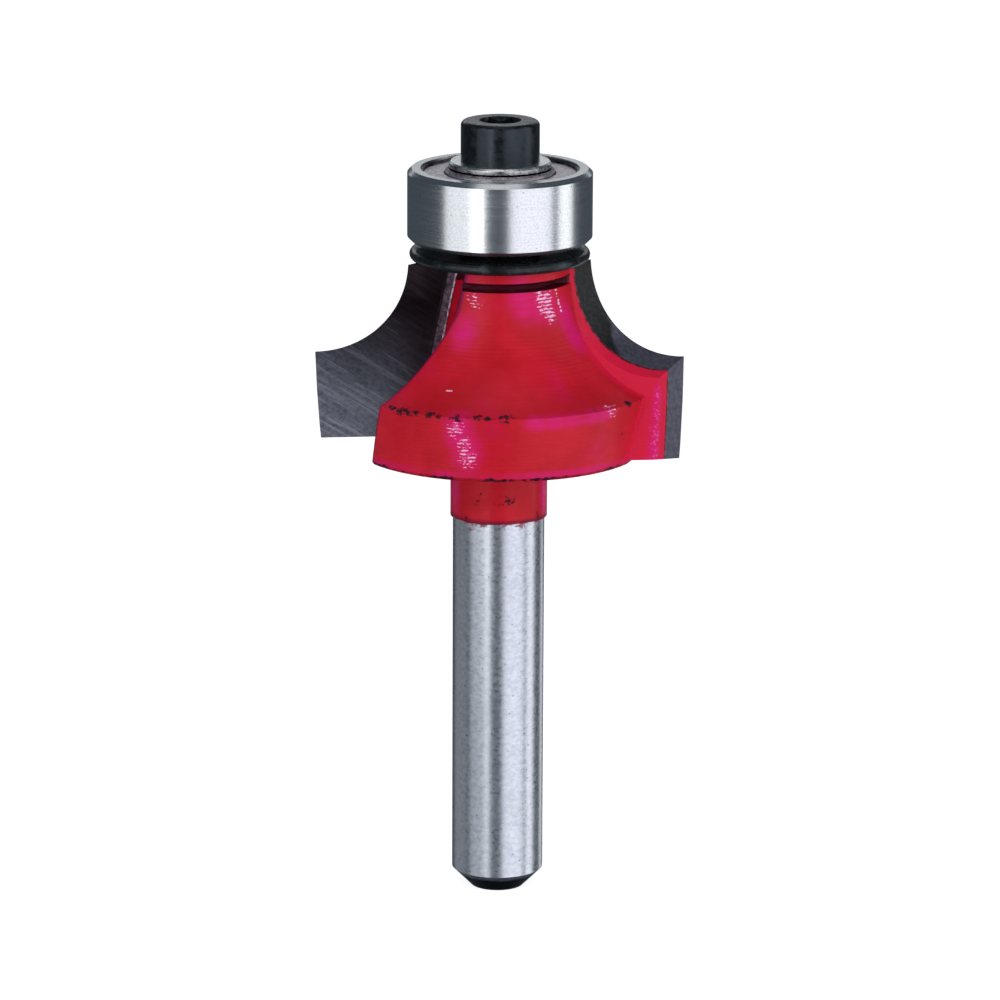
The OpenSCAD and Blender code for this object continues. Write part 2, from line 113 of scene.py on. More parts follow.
# ---------------------------------------------------------------- small helpers for node work
class Finish:
    """A material and the few node moves that the finishes below are made of."""

    def __init__(self, name, colour, metallic=0.0, roughness=0.5, **sockets):
        self.material = bpy.data.materials.new(name)
        self.material.use_nodes = True
        self.tree = self.material.node_tree
        self.shader = self.tree.nodes["Principled BSDF"]
        self.shader.inputs["Base Color"].default_value = (*colour, 1)
        self.shader.inputs["Metallic"].default_value = metallic
        self.shader.inputs["Roughness"].default_value = roughness
        for socket, value in sockets.items():
            self.shader.inputs[socket.replace("_", " ")].default_value = value
        self.place = self.node("ShaderNodeTexCoord").outputs["Object"]
        axes = self.node("ShaderNodeSeparateXYZ")
        self.link(self.place, axes.inputs[0])
        self.x, self.y, self.z = axes.outputs

    def node(self, kind, **settings):
        made = self.tree.nodes.new(kind)
        for key, value in settings.items():
            setattr(made, key, value)
        return made

    def link(self, source, target):
        if hasattr(source, "is_linked"):
            self.tree.links.new(source, target)
        else:
            target.default_value = source

    def math(self, work, a, b=0.0, c=0.0, clamp=False):
        made = self.node("ShaderNodeMath", operation=work, use_clamp=clamp)
        for socket, value in zip(made.inputs, (a, b, c)):
            self.link(value, socket)
        return made.outputs[0]

    def fold(self, work, values):
        total = values[0]
        for value in values[1:]:
            total = self.math(work, total, value)
        return total

    def times(self, *values):
        return self.fold("MULTIPLY", values)

    def plus(self, *values):
        return self.fold("ADD", values)

    def most(self, *values):
        return self.fold("MAXIMUM", values)

    def times_plus(self, value, factor, rest, clamp=False):
        return self.math("MULTIPLY_ADD", value, factor, rest, clamp)

    def stretched(self, sx, sy, sz, turn=(0, 0, 0)):
        """The place turned first and scaled second, each by a node of its own."""
        place = self.place
        rotation = [math.radians(angle) for angle in turn]
        for key, value in (("Rotation", rotation), ("Scale", (sx, sy, sz))):
            if any(value):
                made = self.node("ShaderNodeMapping")
                made.inputs[key].default_value = value
                self.link(place, made.inputs["Vector"])
                place = made.outputs[0]
        return place

    def noise(self, vector, scale, detail=3.0, rough=0.55, distort=0.0):
        made = self.node("ShaderNodeTexNoise")
        self.link(vector, made.inputs["Vector"])
        made.inputs["Scale"].default_value = scale
        made.inputs["Detail"].default_value = detail
        made.inputs["Roughness"].default_value = rough
        made.inputs["Distortion"].default_value = distort
        return made.outputs["Fac"]

    def cells(self, vector, scale):
        made = self.node("ShaderNodeTexVoronoi")
        self.link(vector, made.inputs["Vector"])
        made.inputs["Scale"].default_value = scale
        return made.outputs["Distance"]

    def step(self, value, low, high, out_low=0.0, out_high=1.0):
        made = self.node("ShaderNodeMapRange", interpolation_type="SMOOTHSTEP")
        for socket, number in zip(made.inputs, (value, low, high, out_low, out_high)):
            self.link(number, socket)
        return made.outputs[0]

    def level(self, height, full, gone):
        """1 close to a height, fading to 0 between two distances from it."""
        away = self.math("ABSOLUTE", self.math("SUBTRACT", self.z, height))
        return self.step(away, full, gone, 1, 0)

    def blend(self, factor, a, b):
        made = self.node("ShaderNodeMix", data_type="RGBA")
        self.link(factor, made.inputs[0])
        for socket, value in ((made.inputs[6], a), (made.inputs[7], b)):
            self.link((*value, 1) if isinstance(value, tuple) else value, socket)
        return made.outputs[2]

    def mix(self, factor, a, b):
        made = self.node("ShaderNodeMix", data_type="FLOAT")
        for socket, value in ((made.inputs[0], factor), (made.inputs[2], a), (made.inputs[3], b)):
            self.link(value, socket)
        return made.outputs[0]

    def bump(self, height, strength, distance):
        made = self.node("ShaderNodeBump")
        made.inputs["Strength"].default_value = strength
        made.inputs["Distance"].default_value = distance
        self.link(height, made.inputs["Height"])
        return made.outputs[0]

    def near(self, spots, reach, tall=1.0):
        """1 at any of the points (mm), 0 from 1.5 times their reach on. A tall reach is longer along Z."""
        place = self.stretched(1, 1, 1 / tall) if tall != 1 else self.place
        total = None
        for x, y, z in spots:
            made = self.node("ShaderNodeVectorMath", operation="DISTANCE")
            self.link(place, made.inputs[0])
            made.inputs[1].default_value = (x * MM, y * MM, z / tall * MM)
            one = self.step(made.outputs["Value"], 0.2 * reach * MM, 1.5 * reach * MM, 1, 0)
            total = one if total is None else self.most(total, one)
        return total

    def from_axis(self):
        return self.math("SQRT", self.times_plus(self.y, self.y, self.times(self.x, self.x)))

    def set(self, **outputs):
        for socket, value in outputs.items():
            self.link(value, self.shader.inputs[socket.replace("_", " ")])
        return self.material


def wing_frame(wing):
    """Frame on a wing's rake face: X runs out along it, Z along the flute, and Y is square to it."""
    return (
        Matrix.Rotation(math.radians(RAKE_TURN + 180 * wing), 4, "Z")
        @ Matrix.Translation((0, 0, RAKE_Z))
        @ Matrix.Rotation(math.radians(-RAKE_LEAN), 4, "X")
        @ Matrix.Rotation(math.radians(-FLUTE_LEAN), 4, "Y")
    )


def along_rake(finish, wing):
    """Distance from the axis out along the rake face of one wing, in metres."""
    return dot_place(finish, wing_frame(wing).inverted()[0])


def dot_place(finish, row):
    """One row of a frame's matrix times the place of the shaded point."""
    total = finish.times(finish.x, row[0])
    total = finish.times_plus(finish.y, row[1], total)
    total = finish.times_plus(finish.z, row[2], total)
    return finish.plus(total, row[3])


# ---------------------------------------------------------------- finishes
# Points on the painted body, in mm, where the paint is chipped, rubbed or catches the light
CREST_CHIPS = [
    (-6.9, -7.8, 36), (-5.8, -8.8, 36), (-4.5, -9.6, 36), (-2.7, -10.2, 36),
    (-1.3, -10.5, 36), (0.3, -10.6, 36),
]
BIG_CHIPS = [(8.85, -5.8, 36.1), (10.4, -2.0, 36)]
FOOT_CHIPS = [
    (-7.9, -6.1, 31.7), (-4.0, -9.3, 31.7), (0.1, -10.1, 31.7), (4.1, -9.2, 31.7),
    (7.4, -6.9, 31.7), (2.2, -9.9, 31.7),
]
NECK_CHIPS = [
    (-1.3, -3.1, 28.6), (0.1, -3.35, 28.4), (0.9, -3.2, 28.8), (2.6, -2.1, 27.2),
    (-2.2, -2.5, 27.2),
]
GLINTS = [(2.8, -4.2, 43.1), (3.25, -4.0, 42.9), (3.0, -4.2, 42.4), (3.4, -4.1, 41.8)]
LINE_GLINTS = [(3.9, -3.3, 43.3), (4.05, -3.3, 42.7), (4.2, -3.3, 42.2)]
FAINT_GLINTS = [(-1.94, -4.65, 43.2), (-1.6, -4.85, 42.8)]
LONE_GLINTS = [(-3.5, -7.7, 37.3), (-3.36, -7.78, 37.33), (-3.22, -7.84, 37.37)]
RIM_GLINTS = [(-2.9, -10.1, 35.2), (-2.4, -10.1, 34.2), (-2.1, -10.1, 33.1), (7.7, -7.3, 36.0)]
PINK_COVE = [
    (1.7, -4.8, 42.7), (2.6, -4.4, 42.6), (-2.5, -5.35, 40.9), (3.3, -4.1, 42.5),
    (4.5, -3.2, 41.5), (5.2, -3.3, 40.2),
]
PINK_RIM = [
    (2.6, -10.2, 35.65), (3.8, -9.8, 35.65), (5.0, -9.3, 35.65), (6.2, -8.6, 35.65),
    (7.2, -7.8, 35.7),
]
PINK_PATCH = [(-2.7, -10.1, 35.0), (-2.2, -10.1, 33.6)]
PINK_NECK = [(-3.1, -1.4, 28.9), (3.2, -1.2, 28.9)]
FLANK_EDGE = [
    (10.95, -3.6, 36.4), (10.85, -4.0, 35.2), (10.75, -4.4, 34.0), (10.65, -4.8, 32.8),
    (10.6, -5.1, 31.8),
]


def both_sides(spots):
    """The given points and the same points half a turn round the tool."""
    return spots + [(-x, -y, z) for x, y, z in spots]


def in_flute(f, wing):
    """1 on the floor and the far wall of one flute and close round them, 0 on the rest of the body."""
    rows = wing_frame(wing).inverted()
    out, front = dot_place(f, rows[0]), dot_place(f, rows[1])
    floor_slope, *floor_edge = FLUTE_FLOOR
    wall_slope, *wall_edge = FLUTE_WALL
    floor = f.step(f.times_plus(front, floor_slope, out), *floor_edge)
    wall = f.step(f.times_plus(out, wall_slope, front), *wall_edge, 1, 0)
    return f.times(floor, wall, f.step(front, 0, 0.03 * MM))


def behind_tip(f, wing):
    """0.9 on the thin steel that backs one carbide tip, 0 on the rest of the body."""
    depth = into_tip(f, wing)
    slab = f.times(f.step(depth, *BACK_NEAR), f.step(depth, *BACK_FAR, 1, 0))
    return f.times(slab, f.step(along_rake(f, wing), *BACK_INNER, 0, 0.9))


def in_groove(f, radius):
    """1 in the groove under the collar, whose lower edge is ragged, 0 elsewhere."""
    ragged = f.times_plus(f.noise(f.place, 1300, 4, 0.7), -0.30 * MM, f.z)
    inside = f.times(f.step(radius, *GROOVE_RADIUS, 1, 0), f.step(ragged, *GROOVE_LOW))
    return f.times(inside, f.step(f.z, *GROOVE_HIGH, 1, 0))


def gloss_red(f, patches, flank):
    """Colour of the gloss: a cloudy red, with a lighter painted sheen behind the tips and the painted pink
    reflections.
    """
    cloud = f.noise(f.place, 260, 4, 0.6)
    streaks = f.noise(f.stretched(420, 420, 3600), 1, 3, 0.6)
    pink = f.most(
        f.near(PINK_COVE, 0.95, 1.5),
        f.near(PINK_RIM, 0.95, 0.55),
        f.near(PINK_PATCH, 1.1, 1.3),
        f.near(PINK_NECK, 0.7, 2.6),
    )
    pink = f.most(f.times(pink, 0.85), flank)
    pink = f.times(pink, f.step(streaks, 0.25, 0.65, 0.45, 1.0))
    pink = f.times_plus(f.step(patches, 0.52, 0.75), 0.3, pink, clamp=True)
    red = f.blend(f.step(cloud, 0.35, 0.7), (0.53, 0.008, 0.019), (0.65, 0.012, 0.030))
    # Painted sheen: the steel that backs the tips is painted a lighter red
    red = f.blend(f.most(behind_tip(f, 0), behind_tip(f, 1)), red, (0.74, 0.011, 0.055))
    return f.blend(pink, red, (0.76, 0.008, 0.19))


def paint_chips(f, radius, rim):
    """1 where paint is off: along the crest and the lower edge, at a few points, and in small specks."""
    flecks = f.noise(f.place, 2000, 5, 0.7, 0.3)
    crest = f.times(f.level(CREST, 0.1 * MM, 0.5 * MM), f.step(radius, 9.6 * MM, 10.2 * MM))
    foot = f.times(f.level(BODY_LOW + 0.15 * MM, 0.02 * MM, 0.35 * MM), rim)
    worn = f.plus(
        f.times(crest, f.times_plus(f.near(both_sides(CREST_CHIPS), 0.9), 0.15, 0.10)),
        f.times(foot, f.times_plus(f.near(both_sides(FOOT_CHIPS), 1.4), 0.09, 0.19)),
        f.times(f.near(both_sides(NECK_CHIPS), 0.7), 0.21),
        f.times(f.near(both_sides(BIG_CHIPS), 0.36), 0.30),
    )
    chips = f.step(f.plus(flecks, worn), 0.735, 0.765)
    specks = f.step(f.plus(f.cells(f.place, 900), f.noise(f.place, 420, 2)), 0.34, 0.40, 1, 0)
    return f.most(chips, f.times(specks, 0.6))


def painted_glints(f, lines, flank):
    """Masks of the bright dashes along the turning lines, and of the sparks on the flank and the rim."""
    breaks = f.noise(f.stretched(0.7, 0.7, 1.6), 4600, 3, 0.65)
    grains = f.noise(f.stretched(1, 1, 1.5), 4200, 2, 0.6)
    bright = f.times_plus(f.near(GLINTS, 0.5, 1.6), 0.25, f.times(f.near(RIM_GLINTS, 0.7), 0.16))
    bright = f.times_plus(f.near(LINE_GLINTS, 0.13, 4), 0.32, bright)
    bright = f.times_plus(f.near(FAINT_GLINTS, 0.5), 0.13, bright)
    bright = f.times_plus(f.near(LONE_GLINTS, 0.09), 0.5, bright)
    dashes = f.step(f.plus(f.times_plus(lines, 0.09, breaks), bright), 0.70, 0.78)
    dashes = f.times(dashes, f.step(bright, 0.02, 0.08))
    sparkling = f.most(flank, f.near(RIM_GLINTS, 0.6))
    sparks = f.step(f.times_plus(sparkling, 0.19, grains), 0.70, 0.77)
    return dashes, f.times(sparks, f.step(sparkling, 0.0, 0.3))


def body_paint(f):
    """Colour, roughness and height of the red gloss, chipped on its edges, with painted shade in the flutes
    and the groove and a black seat above it painted as shade.
    """
    radius = f.from_axis()
    rim = f.step(radius, *RIM_RADIUS)
    flank = f.near(FLANK_EDGE, 0.5, 2.2)
    patches = f.noise(f.stretched(1, 1, 0.7), 150, 2, 0.5, 0.6)
    lines = f.math("SINE", f.times_plus(f.noise(f.place, 300, 2), 9.0, f.times(f.z, 26000)))

    # Painted pink sheen above the lower edge, chips, and a dark end of the coat on the shank
    glow = f.times(f.level(BODY_LOW + 0.45 * MM, 0, 0.4 * MM), rim)
    glow = f.times(glow, f.step(patches, 0.4, 0.6, 0.2, 0.9))
    red = f.blend(glow, gloss_red(f, patches, flank), (0.70, 0.006, 0.15))
    chips = paint_chips(f, radius, rim)
    paint = f.blend(chips, red, (0.045, 0.007, 0.022))
    low_edge = f.step(f.z, SHANK_TOP + 0.15 * MM, SHANK_TOP + 0.45 * MM, 0.8, 0)
    paint = f.blend(low_edge, paint, (0.15, 0.003, 0.030))

    # Painted glints, which stand for the lumpy gloss catching the light
    dashes, sparks = painted_glints(f, lines, flank)
    paint = f.blend(f.times(sparks, 0.75), paint, (0.90, 0.10, 0.38))
    paint = f.blend(f.times(dashes, 0.88), paint, (0.97, 0.62, 0.84))

    # Painted shade: the flutes and the groove under the collar are darkened, and the bearing's seat is
    # painted black
    painted_flute_shade = f.most(in_flute(f, 0), in_flute(f, 1))
    paint = f.blend(f.times(painted_flute_shade, 0.92), paint, (0.22, 0.002, 0.060))
    paint = f.blend(f.times(in_groove(f, radius), 0.92), paint, (0.035, 0.002, 0.010))
    seat = f.step(f.z, COLLAR - 0.03 * MM, COLLAR + 0.01 * MM)
    paint = f.blend(seat, paint, (0.006, 0.006, 0.007))

    turned = f.noise(f.stretched(25, 25, 5200), 1, 3, 0.6)
    peel = f.noise(f.place, 1900, 3, 0.6)
    lumps = f.times_plus(lines, 0.07, f.times_plus(turned, 0.5, f.times(peel, 0.6)))
    lumps = f.math("SUBTRACT", lumps, f.times(chips, 0.8))
    rough = f.mix(chips, f.step(peel, 0.3, 0.7, 0.30, 0.45), 0.6)
    return paint, rough, lumps


def ground_shank(f):
    """Colour, roughness and height of the ground steel, with fine rings and a black chamfer."""
    rings = f.noise(f.stretched(60, 60, 9000), 1, 4, 0.7)
    grain = f.noise(f.stretched(1, 1, 1.5), 2800, 4, 0.65)
    smear = f.noise(f.stretched(1, 1, 0.35), 420, 3, 0.6)
    steel = f.blend(f.step(grain, 0.3, 0.7), (0.43, 0.46, 0.52), (0.60, 0.63, 0.68))
    steel = f.blend(f.step(rings, 0.6, 0.8, 0, 0.35), steel, (0.25, 0.25, 0.28))
    steel = f.blend(f.step(smear, 0.55, 0.8, 0, 0.25), steel, (0.24, 0.24, 0.27))
    pits = f.step(f.cells(f.place, 1500), 0.05, 0.11, 0.8, 0)
    steel = f.blend(pits, steel, (0.08, 0.07, 0.08))
    ragged = f.times_plus(f.noise(f.place, 900, 3), 0.3 * MM, f.z)
    steel = f.blend(f.step(ragged, 1.05 * MM, 1.3 * MM), (0.010, 0.010, 0.012), steel)
    height = f.times(f.times_plus(rings, 0.25, grain), 0.05)
    return steel, f.step(grain, 0.25, 0.75, 0.26, 0.33), height


def coated_tool():
    """The whole turned body: paint above a ragged line on the shank, with a few drops below it."""
    f = Finish("red_paint_and_ground_shank", (0.5, 0.01, 0.03), 0, 0.4, Specular_IOR_Level=0.14)
    paint, paint_rough, paint_height = body_paint(f)
    steel, steel_rough, steel_height = ground_shank(f)
    edge = f.times_plus(f.noise(f.place, 700, 3, 0.6), 0.5 * MM, f.z)
    coated = f.step(edge, SHANK_TOP + 0.24 * MM, SHANK_TOP + 0.30 * MM)
    drops = f.times_plus(f.noise(f.place, 1700, 3, 0.7), 3.6 * MM, f.z)
    drops = f.times(f.step(drops, SHANK_TOP + 1.70 * MM, SHANK_TOP + 1.95 * MM), 0.7)
    coated = f.most(coated, drops)
    return f.set(
        Base_Color=f.blend(coated, steel, paint),
        Metallic=f.math("SUBTRACT", 1.0, coated, clamp=True),
        Roughness=f.mix(coated, steel_rough, paint_rough),
        Normal=f.bump(f.mix(coated, steel_height, paint_height), 0.5, 0.05 * MM),
    )


def into_tip(finish, wing):
    """Depth below the rake face of one wing, in metres: 0 on the face, growing towards the seat."""
    row = wing_frame(wing).inverted()[1]
    return finish.times(dot_place(finish, row), -1.0)


def ground_carbide(wing):
    """Dark diamond-ground carbide with slanting scratches, and an unground strip beside the braze."""
    f = Finish(f"ground_carbide_{wing}", (0.05, 0.045, 0.052), 0.55, 0.36)
    inset = along_rake(f, wing)
    depth = into_tip(f, wing)
    face = f.step(depth, 0.02 * MM, 0.06 * MM, 1, 0)
    strip = f.times(f.step(inset, *STRIP_EDGE, 1, 0), face)
    scratch = f.noise(f.stretched(260, 260, 4200, (0, -34, 0)), 1, 4, 0.65, 0.25)
    fine = f.noise(f.place, 3400, 3, 0.65)
    cloud = f.noise(f.place, 330, 4, 0.6)
    tone = f.blend(f.step(cloud, 0.3, 0.7), (0.012, 0.008, 0.012), (0.030, 0.023, 0.031))
    # Painted reflection: the lower part of the rake face is painted lighter and bluer, and the scratches,
    # real marks, show mainly there
    lower = f.step(f.z, 34 * MM, 41.5 * MM, 1, 0)
    lower = f.times(lower, f.step(inset, 3.9 * MM, 7 * MM, 0.25, 1), face)
    tone = f.blend(f.times(lower, f.step(fine, 0.3, 0.6, 0.6, 1)), tone, (0.25, 0.265, 0.33))
    scored = f.times(f.step(scratch, 0.50, 0.66, 0, 0.6), f.times_plus(lower, 0.95, 0.05))
    tone = f.blend(scored, tone, (0.42, 0.45, 0.52))

    # Ground relief behind the edge: black and speckled round the arc's top, slate grey farther out
    outer = f.times_plus(f.noise(f.place, 500, 3), 1.2 * MM, inset)
    slate = f.step(outer, 7.4 * MM, 7.9 * MM)
    slate_tone = f.blend(f.step(fine, 0.35, 0.65), (0.070, 0.072, 0.100), (0.118, 0.120, 0.155))
    black_tone = f.blend(f.step(fine, 0.4, 0.7), (0.008, 0.009, 0.009), (0.022, 0.024, 0.025))
    relief = f.blend(slate, black_tone, slate_tone)
    tone = f.blend(face, relief, tone)
    dust = f.step(f.plus(f.cells(f.place, 1900), f.noise(f.place, 600, 2)), 0.38, 0.43, 0.6, 0)
    tone = f.blend(dust, tone, (0.30, 0.24, 0.29))
    strip_tone = f.blend(f.step(fine, 0.35, 0.65), (0.10, 0.08, 0.11), (0.30, 0.25, 0.31))
    line = f.times(strip, f.step(inset, *STRIP_LINE))
    tone = f.blend(strip, tone, strip_tone)
    tone = f.blend(line, tone, (0.02, 0.014, 0.018))
    rough = f.mix(strip, f.step(scratch, 0.3, 0.7, 0.28, 0.46), 0.5)
    return f.set(Base_Color=tone, Roughness=rough, Normal=f.bump(scratch, 0.2, 0.02 * MM))


def braze_metal(wing):
    """Silver braze on the rake face; painted over red where it meets the relief."""
    f = Finish(f"silver_braze_{wing}", (0.5, 0.3, 0.32), 0.5, 0.45)
    lumps = f.noise(f.place, 2500, 3, 0.6)
    tone = f.blend(f.step(lumps, 0.35, 0.6), (0.34, 0.16, 0.24), (0.88, 0.74, 0.82))
    covered = f.step(into_tip(f, wing), 0.5 * MM, 0.9 * MM)
    red = f.blend(f.step(lumps, 0.4, 0.6), (0.10, 0.006, 0.016), (0.42, 0.02, 0.06))
    tone = f.blend(covered, tone, red)
    return f.set(Base_Color=tone, Normal=f.bump(lumps, 0.6, 0.04 * MM))


def black_washer():
    f = Finish("black_gloss_washer", (0.01, 0.01, 0.012), 0.55, 0.28)
    cloud = f.noise(f.place, 1100, 4, 0.6)
    tone = f.blend(f.step(cloud, 0.5, 0.8), (0.012, 0.016, 0.019), (0.06, 0.08, 0.095))
    rough = f.step(cloud, 0.3, 0.7, 0.2, 0.42)
    return f.set(Base_Color=tone, Roughness=rough, Normal=f.bump(cloud, 0.3, 0.03 * MM))


def race_steel():
    """Ground bearing steel: fine rings round the axis on every face."""
    f = Finish("ground_race_steel", (0.6, 0.6, 0.63), 1.0, 0.22)
    radius = f.from_axis()
    round_place = f.node("ShaderNodeCombineXYZ")
    f.link(f.times(radius, 9000), round_place.inputs[0])
    f.link(f.times(f.z, 9000), round_place.inputs[1])
    f.link(f.noise(f.place, 120, 1), round_place.inputs[2])
    rings = f.noise(round_place.outputs[0], 1, 3, 0.6)
    haze = f.noise(f.place, 500, 3, 0.6)
    fine = f.noise(f.place, 8500, 3, 0.6)
    tone = f.blend(f.step(rings, 0.3, 0.7), (0.60, 0.63, 0.65), (0.68, 0.71, 0.73))
    tone = f.blend(f.step(fine, 0.4, 0.7, 0, 0.5), tone, (0.46, 0.46, 0.50))
    tone = f.blend(f.step(haze, 0.55, 0.8, 0, 0.3), tone, (0.46, 0.44, 0.47))
    pits = f.step(f.cells(f.place, 1300), 0.05, 0.09, 0.5, 0)
    tone = f.blend(pits, tone, (0.10, 0.09, 0.10))

    # The inner ring's face is dull and pinkish, with painted shade close round the clamp washer
    inner = f.step(radius, 3.80 * MM, 3.85 * MM, 1, 0)
    face = f.times(inner, f.step(f.z, BEARING_TOP - 0.14 * MM, BEARING_TOP - 0.08 * MM))
    grain = f.noise(f.place, 2600, 4, 0.7)
    dull = f.blend(f.step(grain, 0.35, 0.65), (0.20, 0.15, 0.18), (0.60, 0.52, 0.57))
    dark_ring = f.step(f.times_plus(grain, 0.10 * MM, radius), 3.58 * MM, 3.64 * MM, 1, 0)
    dull = f.blend(dark_ring, dull, (0.010, 0.008, 0.010))
    tone = f.blend(face, tone, dull)
    rough = f.mix(face, f.step(rings, 0.25, 0.75, 0.20, 0.26), 0.5)
    return f.set(Base_Color=tone, Roughness=rough, Normal=f.bump(rings, 0.05, 0.006 * MM))


def shield_sheet():
    f = Finish("shield_sheet", (0.3, 0.27, 0.29), 0.75, 0.45)
    grain = f.noise(f.place, 2600, 5, 0.7)
    cloud = f.noise(f.place, 600, 3, 0.6)
    tone = f.blend(f.step(grain, 0.35, 0.65), (0.46, 0.42, 0.46), (0.92, 0.87, 0.91))
    tone = f.blend(f.step(cloud, 0.55, 0.75, 0, 0.6), tone, (0.16, 0.12, 0.14))
    radius = f.from_axis()
    # Darker in a ragged ring round the outer edge
    dark_ring = f.step(f.times_plus(f.noise(f.place, 900, 3), -0.5 * MM, radius), 4.93 * MM, 5.05 * MM)
    tone = f.blend(dark_ring, tone, (0.02, 0.016, 0.018))
    rough = f.step(grain, 0.3, 0.7, 0.4, 0.62)
    return f.set(Base_Color=tone, Roughness=rough, Normal=f.bump(grain, 0.5, 0.03 * MM))


def spring_steel():
    f = Finish("snap_ring_steel", (0.2, 0.2, 0.22), 0.9, 0.4)
    grain = f.noise(f.place, 1800, 4, 0.6)
    tone = f.blend(f.step(grain, 0.4, 0.65), (0.02, 0.02, 0.02), (0.15, 0.15, 0.17))
    return f.set(Base_Color=tone, Normal=f.bump(grain, 0.3, 0.02 * MM))


def plated_washer():
    f = Finish("plated_washer", (0.7, 0.7, 0.72), 1.0, 0.22)
    grain = f.noise(f.place, 1500, 4, 0.65)
    tone = f.blend(f.step(grain, 0.35, 0.7), (0.66, 0.70, 0.71), (0.90, 0.92, 0.93))
    stain = f.step(f.noise(f.place, 700, 3, 0.6, 0.5), 0.60, 0.70, 0, 0.6)
    tone = f.blend(stain, tone, (0.16, 0.14, 0.15))
    # The washer's lower edge is painted near black, as painted shade in the gap above the inner ring
    below = f.times_plus(grain, 0.05 * MM, f.z)
    unshaded_part = f.step(below, BEARING_TOP + 0.09 * MM, BEARING_TOP + 0.13 * MM)
    tone = f.blend(unshaded_part, (0.012, 0.010, 0.012), tone)
    rough = f.step(grain, 0.3, 0.7, 0.18, 0.36)
    return f.set(Base_Color=tone, Roughness=rough, Normal=f.bump(grain, 0.3, 0.02 * MM))


def black_oxide():
    """Blackened screw with a few rubbed specks that show bright metal."""
    f = Finish("black_oxide", (0.02, 0.03, 0.04), 0.7, 0.3)
    grain = f.noise(f.place, 1700, 4, 0.65)
    tone = f.blend(f.step(grain, 0.35, 0.7), (0.016, 0.021, 0.026), (0.027, 0.036, 0.047))
    rubbed = f.step(f.plus(f.cells(f.place, 1100), f.noise(f.place, 500, 2)), 0.32, 0.36, 1, 0)
    tone = f.blend(f.times(rubbed, 0.8), tone, (0.35, 0.36, 0.40))
    rough = f.step(grain, 0.3, 0.7, 0.22, 0.40)
    return f.set(Base_Color=tone, Roughness=rough, Normal=f.bump(grain, 0.3, 0.02 * MM))


def polished_ball():
    f = Finish("polished_ball", (0.75, 0.75, 0.77), 1.0, 0.08)
    haze = f.noise(f.place, 900, 3, 0.6)
    tone = f.blend(haze, (0.68, 0.68, 0.71), (0.82, 0.82, 0.84))
    return f.set(Base_Color=tone, Roughness=f.step(haze, 0.3, 0.7, 0.05, 0.13))


def pressed_sheet():
    f = Finish("pressed_cage_sheet", (0.42, 0.4, 0.36), 0.9, 0.38)
    grain = f.noise(f.place, 1600, 4, 0.6)
    tone = f.blend(f.step(grain, 0.35, 0.7), (0.34, 0.32, 0.28), (0.55, 0.53, 0.48))
    return f.set(Base_Color=tone, Normal=f.bump(grain, 0.3, 0.02 * MM))


def wear(node, material):
    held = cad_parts[node]
    held.data.materials.clear()
    held.data.materials.append(material)


BODY = coated_tool()
RACE = race_steel()
SHIELD, SNAP, CAGE, BALL = shield_sheet(), spring_steel(), pressed_sheet(), polished_ball()
wear("tool_body", BODY)
wear("carbide_right", ground_carbide(0))
wear("carbide_left", ground_carbide(1))
wear("braze_right", braze_metal(0))
wear("braze_left", braze_metal(1))
wear("dust_washer", black_washer())
for ring in ("inner_race", "outer_race"):
    wear(ring, RACE)
for side in ("upper", "lower"):
    wear(f"shield_{side}", SHIELD)
    wear(f"snap_ring_{side}", SNAP)
    wear(f"cage_{side}", CAGE)
wear("cage_rivets", CAGE)
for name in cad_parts:
    if name.startswith("ball_"):
        wear(name, BALL)
wear("clamp_washer", plated_washer())
wear("socket_screw", black_oxide())


